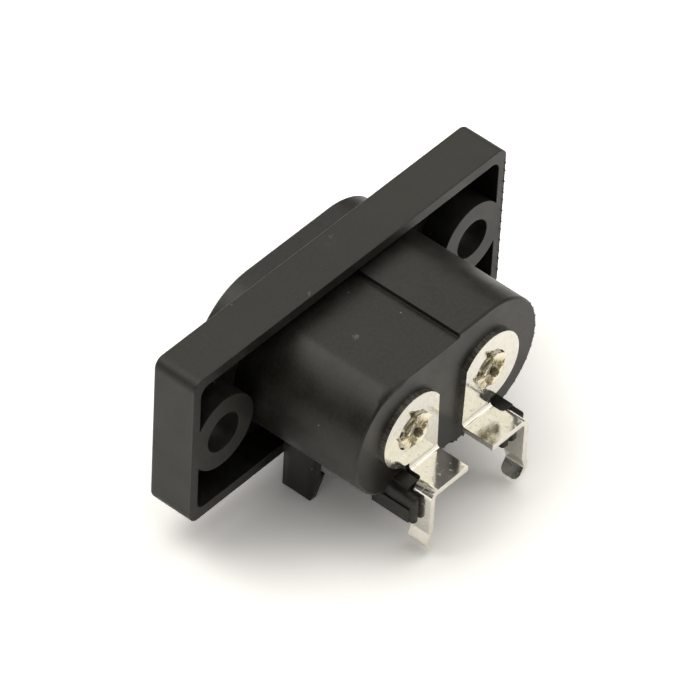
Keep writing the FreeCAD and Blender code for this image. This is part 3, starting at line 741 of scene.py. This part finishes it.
# %% [markdown]
# ## Turned surface
# A pin is turned about an axis, and a fin of flash is swept along an edge. Screw and curve tools make
# such shapes with one section only. A stack of rings whose neighbours are joined takes any section at
# any place, so both kinds of piece are made from it.

# %% Turned surface
SHARP_DEGREES = 38


def turned_mesh(name, rings):
    """A closed surface from rings of points (rings, around, 3): quads between them, fans at both ends."""
    count, steps = rings.shape[:2]
    index = np.arange(count * steps).reshape(count, steps)
    ahead = np.roll(index, -1, axis=1)
    quads = np.stack([index[:-1], index[1:], ahead[1:], ahead[:-1]], axis=-1).reshape(-1, 4)
    first, last = count * steps, count * steps + 1
    start_fan = np.stack([np.full(steps, first), index[0], ahead[0]], axis=-1)
    end_fan = np.stack([np.full(steps, last), ahead[-1], index[-1]], axis=-1)
    middles = rings[[0, -1]].mean(axis=1)
    mesh = bpy.data.meshes.new(name)
    points = np.concatenate([rings.reshape(-1, 3), middles])
    mesh.from_pydata(points, [], quads.tolist() + start_fan.tolist() + end_fan.tolist())
    mesh.shade_smooth()
    mesh.set_sharp_from_angle(angle=math.radians(SHARP_DEGREES))
    piece = bpy.data.objects.new(name, mesh)
    bpy.context.scene.collection.objects.link(piece)
    return piece


print("turned surfaces are smooth up to", SHARP_DEGREES, "degrees")

# %% [markdown]
# ## Rolled pins
# With all that, a pin is one surface, a stack of rings from the nose over the tail down to the bottom of
# the bore. The mouth of the hole lies a little off the axis, because the punch did, so the rings drift
# towards it, and the wide bore under it is back on the axis. A groove along the shank is the seam of the
# rolled tube.

# %% Rolled pins
SEAM_RINGS = slice(9, 11)
SEAM_DEPTH = 0.05
SEAM_ANGLE = 270
SEAM_WIDTH = 4
MOUTH_DRIFT = (0.24, 0.27)
DRIFT_START = 5
DRIFT_RINGS = 6
WIDE_RINGS = 3


def rolled_pin(name, node, middle, phase):
    """A pin about the line x = middle: shank, bowl, tail and bore as rings of a radius at a depth.

    Towards the mouth of the hole the rings' centre drifts sideways and down, and the bore's doesn't.
    """
    face = (0, TABS_FACE)
    sections = [around(SHANK), around(BOWL) + face, staked_tail(phase) + face, around(BORE) + face]
    radius, depth = np.moveaxis(np.concatenate(sections), -1, 0)
    seam = np.exp(-(((angle - SEAM_ANGLE + 180) % 360 - 180) / SEAM_WIDTH) ** 2)
    radius[SEAM_RINGS] = radius[SEAM_RINGS] - SEAM_DEPTH * seam
    step = np.arange(len(radius))[:, None] - tail_start - DRIFT_START
    inwards = np.clip(step / DRIFT_RINGS, 0, 1)
    inwards[-WIDE_RINGS:] = 0
    across = middle - MOUTH_DRIFT[0] * inwards + radius * np.cos(turn)
    upwards = radius * np.sin(turn) - MOUTH_DRIFT[1] * inwards
    piece = turned_mesh(name, np.stack([across, depth, upwards], axis=-1) / 1000)
    for label, share in (("bare_brass", bare_brass), ("painted_shade", painted_shade)):
        values = np.concatenate([share.ravel(), share[0, :1], share[-1, :1]])
        piece.data.attributes.new(label, "FLOAT", "POINT").data.foreach_set("value", values)
    piece.data.materials.append(pin_metal)
    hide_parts(node)
    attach(piece, "root")
    print(name, len(piece.data.polygons), "faces")


rolled_pin("left_rolled_pin", "left_pin", 4.3, 0.4)
rolled_pin("right_rolled_pin", "right_pin", -4.3, 1.7)

# %% [markdown]
# ## Mould flash
# Where the halves of the mould met, a little plastic crept between them and tore when the part was
# pushed out. It stands as a ragged fin along the rear edges of the body and of the flange's far end.
# Loose flakes would do from afar, but a wedge swept along the edge, rooted a hair inside the moulding,
# is one closed surface. Its height comes from a product of sines raised to a power, so that most of it
# is low and a few tatters stand out.

# %% Mould flash
FIN_ROOT = 0.04
FIN_HALF_WIDTH = 0.05
FIN_FADE = 0.3


def flash_fin(name, path, outward, tallest, phase):
    """A wedge along a path in mm: two root points and a tip at each step, higher where sines agree."""
    outward = np.array(outward) / np.linalg.norm(outward, axis=-1, keepdims=True)
    steps = np.linalg.norm(np.diff(path, axis=0), axis=1)
    run = np.concatenate([[0], np.cumsum(steps)])
    along = np.gradient(path, axis=0)
    across = np.cross(along / np.linalg.norm(along, axis=1, keepdims=True), outward)
    tatter = np.abs(np.sin(3.1 * run + phase) * np.sin(8.3 * run + 2 * phase))
    tatter = tatter + 0.2 * np.abs(np.sin(17 * run + phase))
    ends = np.clip(np.minimum(run, run[-1] - run) / FIN_FADE, 0, 1)
    height = tallest * ends * (0.1 + 0.9 * tatter ** 2.2)
    root = path - FIN_ROOT * outward
    side = FIN_HALF_WIDTH * across
    tip = path + height[:, None] * outward
    piece = turned_mesh(name, np.stack([root - side, root + side, tip], axis=1) / 1000)
    piece.data.materials.append(black_moulding)
    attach(piece, "root")
    print(name, "up to", round(float(height.max()), 2), "mm tall")


print("fin", 2 * FIN_HALF_WIDTH, "mm wide at its root")

# %% [markdown]
# ## Edges with flash
# The body's round side has its fin along an arc, and its underside and the flange's end have theirs
# along straight lines, the underside at two levels. Flash could be painted on the edges, but then the
# outline would stay too clean. All paths are in mm, a hair inside the solids' edges.

# %% Edges with flash
BODY_MIDDLE = 4.475
BODY_RADIUS = 5.63
BODY_REAR = 13.42
FLAT_REAR = 13.44
LOW_LEVEL = -5.28
FLANGE_END = -17.38
FLANGE_REAR = 3.99
FLANGE_REACH = 6.1

sweep = np.radians(np.linspace(35, -75, 240))
ones = np.ones_like(sweep)
side_path = -BODY_MIDDLE - BODY_RADIUS * np.cos(sweep)
rear_path = np.stack([side_path, BODY_REAR * ones, BODY_RADIUS * np.sin(sweep)], axis=-1)
rear_outward = np.stack([-np.cos(sweep), 0.3 * ones, np.sin(sweep)], axis=-1)
flash_fin("body_flash", rear_path, rear_outward, 0.09, 0.7)
for name, start, end, level in (
    ("high_edge_flash", -4.3, -1.05, -BODY_RADIUS),
    ("low_edge_flash", -0.95, 1.3, LOW_LEVEL),
):
    flat_path = np.linspace((start, FLAT_REAR, level), (end, FLAT_REAR, level), 90)
    flash_fin(name, flat_path, (0, 0.3, -1), 0.17, 1.9)
flange_foot = (FLANGE_END, FLANGE_REAR, -FLANGE_REACH)
flange_top = (FLANGE_END, FLANGE_REAR, FLANGE_REACH)
flash_fin("flange_flash", np.linspace(flange_foot, flange_top, 240), (0, 1, 0), 0.12, 2.6)

# %% [markdown]
# ## Finishes on the solids
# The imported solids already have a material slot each. Putting the finish into that slot keeps the solid
# as it is and changes only its look.

# %% Finishes on the solids
FINISHES = {"housing": black_moulding, "left_terminal": terminal_metal, "right_terminal": terminal_metal}
for node, finish in FINISHES.items():
    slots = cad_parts[node].data.materials
    for place in range(len(slots)):
        slots[place] = finish
    print(node, "is", finish.name)

# %% [markdown]
# ## Size of the dressed part
# The dressed part has to stay in the box of its solids, so both boxes are taken and compared.

# %% Size of the dressed part
dressed_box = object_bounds()
boxes = {"cad": [list(corner) for corner in solids_box], "visual": [list(corner) for corner in dressed_box]}
growth = np.abs(np.array(boxes["visual"]) - np.array(boxes["cad"])).max()
print("largest growth in mm:", round(1000 * float(growth), 4))
